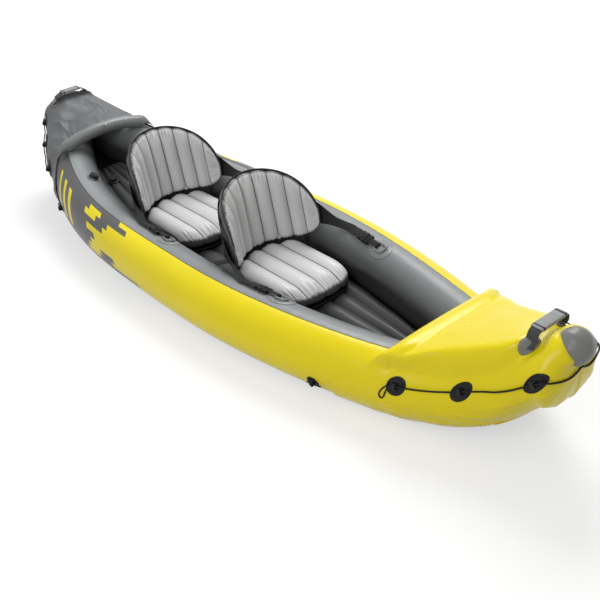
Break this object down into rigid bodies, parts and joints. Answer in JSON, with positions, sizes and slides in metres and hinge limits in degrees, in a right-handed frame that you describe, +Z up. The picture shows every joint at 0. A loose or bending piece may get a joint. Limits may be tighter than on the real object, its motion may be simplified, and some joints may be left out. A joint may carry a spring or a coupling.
{
  "type": "tandem inflatable kayak",
  "caption": "Open inflatable two-seat kayak with welded side tubes, spray covers at both ends, padded seats with reclining backrests, grab ropes and carrying handles.",
  "frame": {"origin": "Middle of the flat rest face under the hull, on the centre line", "axes": "+X to the bow, +Y to port, +Z up"},
  "size_m": [3.1779, 0.91, 0.5136],
  "materials": {
    "yellow_pvc": "smooth welded PVC sheet",
    "grey_pvc": "smooth welded PVC sheet",
    "dark_pvc": "satin welded PVC sheet",
    "silver_pvc": "satin welded PVC sheet",
    "black_webbing": "woven webbing and backing cloth",
    "grey_plastic": "satin moulded plastic",
    "black_rope": "braided cord",
    "black_plastic": "satin moulded plastic",
    "clear_plug": "soft moulded plastic"
  },
  "bodies": {
    "hull": {"starboard_tube": "yellow_pvc", "port_tube": "yellow_pvc", "bottom_sheet": "dark_pvc", "floor_chamber": "dark_pvc", "bow_cover": "yellow_pvc", "stern_cover": "grey_pvc", "bow_roll": "yellow_pvc", "stern_roll": "grey_pvc", "nose_cap": "grey_plastic", "bow_rope": "black_rope", "stern_rope": "black_rope", "rope_holder_discs": "black_plastic", "rope_holder_clips": "black_plastic", "handle_feet": "grey_plastic", "ring_patches": "grey_pvc", "strap_rings": "grey_plastic", "ring_tabs": "black_webbing", "buckle_tongues": "black_plastic", "seat_anchor_straps": "black_webbing", "front_cushion": "silver_pvc", "front_base": "black_webbing", "front_skirt": "dark_pvc", "rear_cushion": "silver_pvc", "rear_base": "black_webbing", "rear_skirt": "dark_pvc", "valve_patches": "dark_pvc", "valve_necks": "black_plastic", "roll_valve": "grey_pvc"},
    "front_backrest": {"front_backrest": "silver_pvc", "front_backrest_cover": "dark_pvc", "front_backrest_valve": "silver_pvc", "front_port_strap": "black_webbing", "front_starboard_strap": "black_webbing"},
    "rear_backrest": {"rear_backrest": "silver_pvc", "rear_backrest_cover": "dark_pvc", "rear_backrest_valve": "silver_pvc", "rear_port_strap": "black_webbing", "rear_starboard_strap": "black_webbing"},
    "bow_handle": {"bow_handle_strap": "grey_plastic", "bow_handle_grip": "grey_plastic"},
    "stern_handle": {"stern_handle_strap": "grey_plastic", "stern_handle_grip": "grey_plastic"},
    "front_port_buckle": {"front_port_buckle": "black_plastic"},
    "front_starboard_buckle": {"front_starboard_buckle": "black_plastic"},
    "rear_port_buckle": {"rear_port_buckle": "black_plastic"},
    "rear_starboard_buckle": {"rear_starboard_buckle": "black_plastic"},
    "port_valve_cap": {"port_valve_cap": "black_plastic"},
    "starboard_valve_cap": {"starboard_valve_cap": "black_plastic"},
    "floor_valve_cap": {"floor_valve_cap": "black_plastic"},
    "port_valve_tether": {"port_valve_tether": "black_plastic"},
    "starboard_valve_tether": {"starboard_valve_tether": "black_plastic"},
    "floor_valve_tether": {"floor_valve_tether": "black_plastic"},
    "roll_valve_plug": {"roll_valve_plug": "clear_plug"},
    "front_backrest_plug": {"front_backrest_plug": "clear_plug"},
    "rear_backrest_plug": {"rear_backrest_plug": "clear_plug"}
  },
  "joints": [
    {"name": "front_backrest_recline", "type": "hinge", "parent": "hull", "child": "front_backrest", "pos_m": [0.006, 0, 0.1866], "axis": [0, 1, 0], "range_deg": [-15, 0], "deforming": ["front_port_strap", "front_starboard_strap"]},
    {"name": "rear_backrest_recline", "type": "hinge", "parent": "hull", "child": "rear_backrest", "pos_m": [-0.684, 0, 0.1887], "axis": [0, 1, 0], "range_deg": [-15, 0], "deforming": ["rear_port_strap", "rear_starboard_strap"]},
    {"name": "bow_handle_swing", "type": "hinge", "parent": "hull", "child": "bow_handle", "pos_m": [1.44567, 0, 0.44321], "axis": [0, 1, 0], "range_deg": [-20, 20]},
    {"name": "stern_handle_swing", "type": "hinge", "parent": "hull", "child": "stern_handle", "pos_m": [-1.48544, 0, 0.48605], "axis": [0, 1, 0], "range_deg": [-15, 15]},
    {"name": "front_port_buckle_release", "type": "slide", "parent": "hull", "child": "front_port_buckle", "axis": [-0.9891, 0.1476, -0.0002], "range_m": [0, 0.025], "deforming": ["front_port_strap"]},
    {"name": "front_starboard_buckle_release", "type": "slide", "parent": "hull", "child": "front_starboard_buckle", "axis": [-0.9891, -0.1476, -0.0002], "range_m": [0, 0.025], "deforming": ["front_starboard_strap"]},
    {"name": "rear_port_buckle_release", "type": "slide", "parent": "hull", "child": "rear_port_buckle", "axis": [-1, -0.0037, 0.0002], "range_m": [0, 0.025], "deforming": ["rear_port_strap"]},
    {"name": "rear_starboard_buckle_release", "type": "slide", "parent": "hull", "child": "rear_starboard_buckle", "axis": [-1, 0.0037, 0.0002], "range_m": [0, 0.025], "deforming": ["rear_starboard_strap"]},
    {"name": "port_valve_lift", "type": "slide", "parent": "hull", "child": "port_valve_tether", "axis": [0.2191, -0.4644, 0.8581], "range_m": [0, 0.006]},
    {"name": "port_valve_turn", "type": "hinge", "parent": "port_valve_tether", "child": "port_valve_cap", "pos_m": [-0.96, 0.20942, 0.26194], "axis": [0.2191, -0.4644, 0.8581], "range_deg": [0, 540]},
    {"name": "starboard_valve_lift", "type": "slide", "parent": "hull", "child": "starboard_valve_tether", "axis": [0.2191, 0.4644, 0.8581], "range_m": [0, 0.006]},
    {"name": "starboard_valve_turn", "type": "hinge", "parent": "starboard_valve_tether", "child": "starboard_valve_cap", "pos_m": [-0.96, -0.20942, 0.26194], "axis": [0.2191, 0.4644, 0.8581], "range_deg": [0, 540]},
    {"name": "floor_valve_lift", "type": "slide", "parent": "hull", "child": "floor_valve_tether", "axis": [0.2528, 0, 0.9675], "range_m": [0, 0.006]},
    {"name": "floor_valve_turn", "type": "hinge", "parent": "floor_valve_tether", "child": "floor_valve_cap", "pos_m": [-1.11, -0.045, 0.13884], "axis": [0.2528, 0, 0.9675], "range_deg": [0, 540]},
    {"name": "roll_plug_pull", "type": "slide", "parent": "hull", "child": "roll_valve_plug", "axis": [0.766, 0, 0.6428], "range_m": [0, 0.008]},
    {"name": "front_plug_pull", "type": "slide", "parent": "front_backrest", "child": "front_backrest_plug", "axis": [0.8957, -0.4446, 0], "range_m": [0, 0.008]},
    {"name": "rear_plug_pull", "type": "slide", "parent": "rear_backrest", "child": "rear_backrest_plug", "axis": [0.8957, -0.4446, 0], "range_m": [0, 0.008]}
  ],
  "couplings": [
    {"joint": "port_valve_turn", "follows": "port_valve_lift", "rad_per_m": 1570.8},
    {"joint": "starboard_valve_turn", "follows": "starboard_valve_lift", "rad_per_m": 1570.8},
    {"joint": "floor_valve_turn", "follows": "floor_valve_lift", "rad_per_m": 1570.8}
  ]
}
